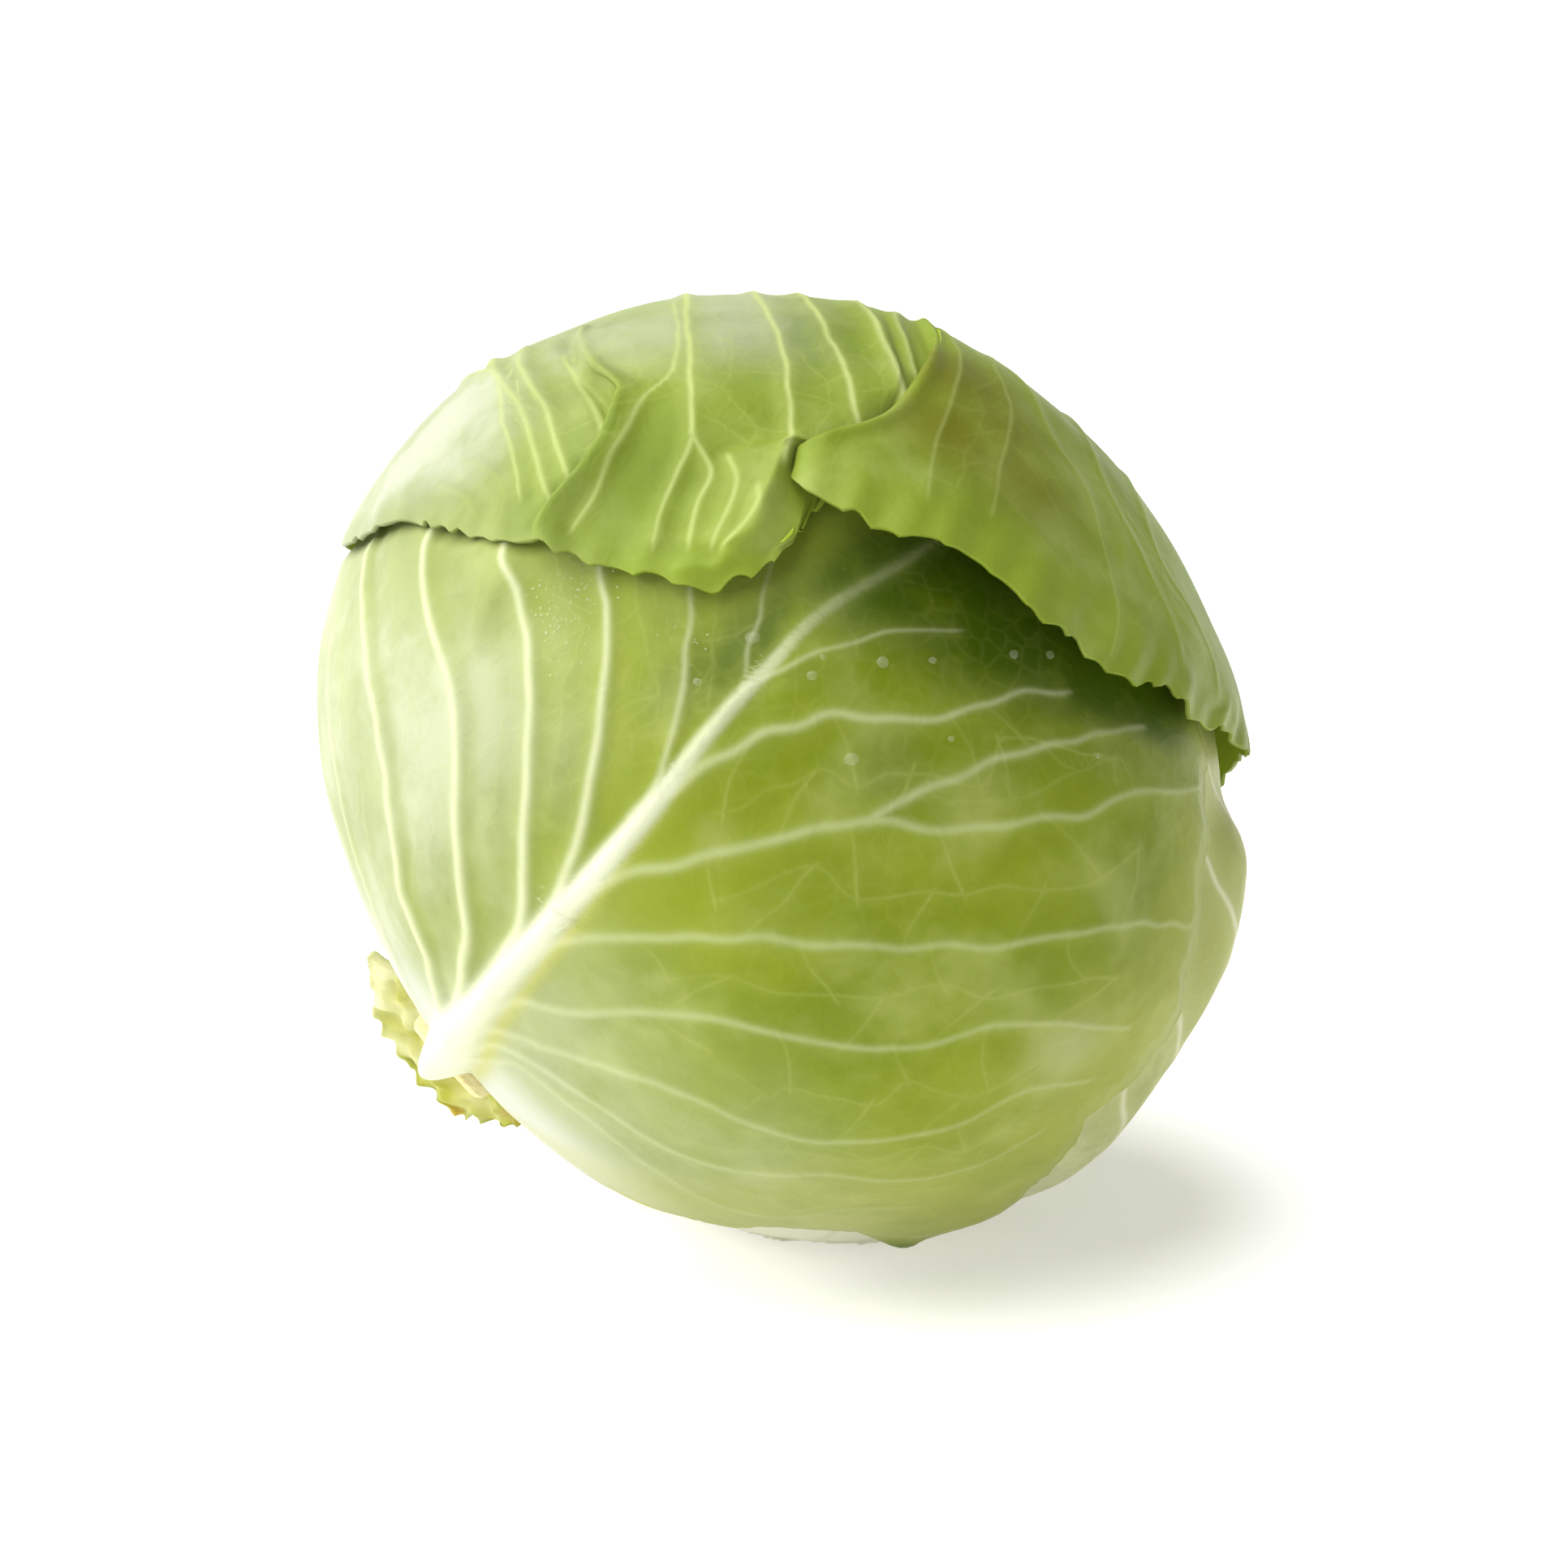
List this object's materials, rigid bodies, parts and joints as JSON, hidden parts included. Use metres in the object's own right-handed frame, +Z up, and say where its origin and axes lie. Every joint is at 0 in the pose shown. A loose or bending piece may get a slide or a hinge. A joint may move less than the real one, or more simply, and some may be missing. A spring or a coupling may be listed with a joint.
{
  "type": "cabbage head",
  "caption": "a round head of white cabbage lying on its side, wrapped in large ribbed leaves round a tight heart, with a cut stem",
  "frame": {"origin": "on the floor, under the middle of the head's box", "axes": "+Z up, -Y the side with the big white midrib, +X towards the crown; the stem points down to -X"},
  "size_m": [0.1648, 0.1753, 0.1671],
  "materials": {
    "heart": "satin",
    "stem": "matt",
    "torn_leaf": "satin",
    "back_leaf": "satin",
    "side_leaf": "satin",
    "front_leaf": "satin",
    "cap_leaf": "satin"
  },
  "bodies": {
    "root": {"heart": "heart", "stem": "stem", "torn_leaf": "torn_leaf", "back_leaf": "back_leaf", "side_leaf": "side_leaf", "front_leaf": "front_leaf", "cap_leaf": "cap_leaf"}
  },
  "joints": []
}
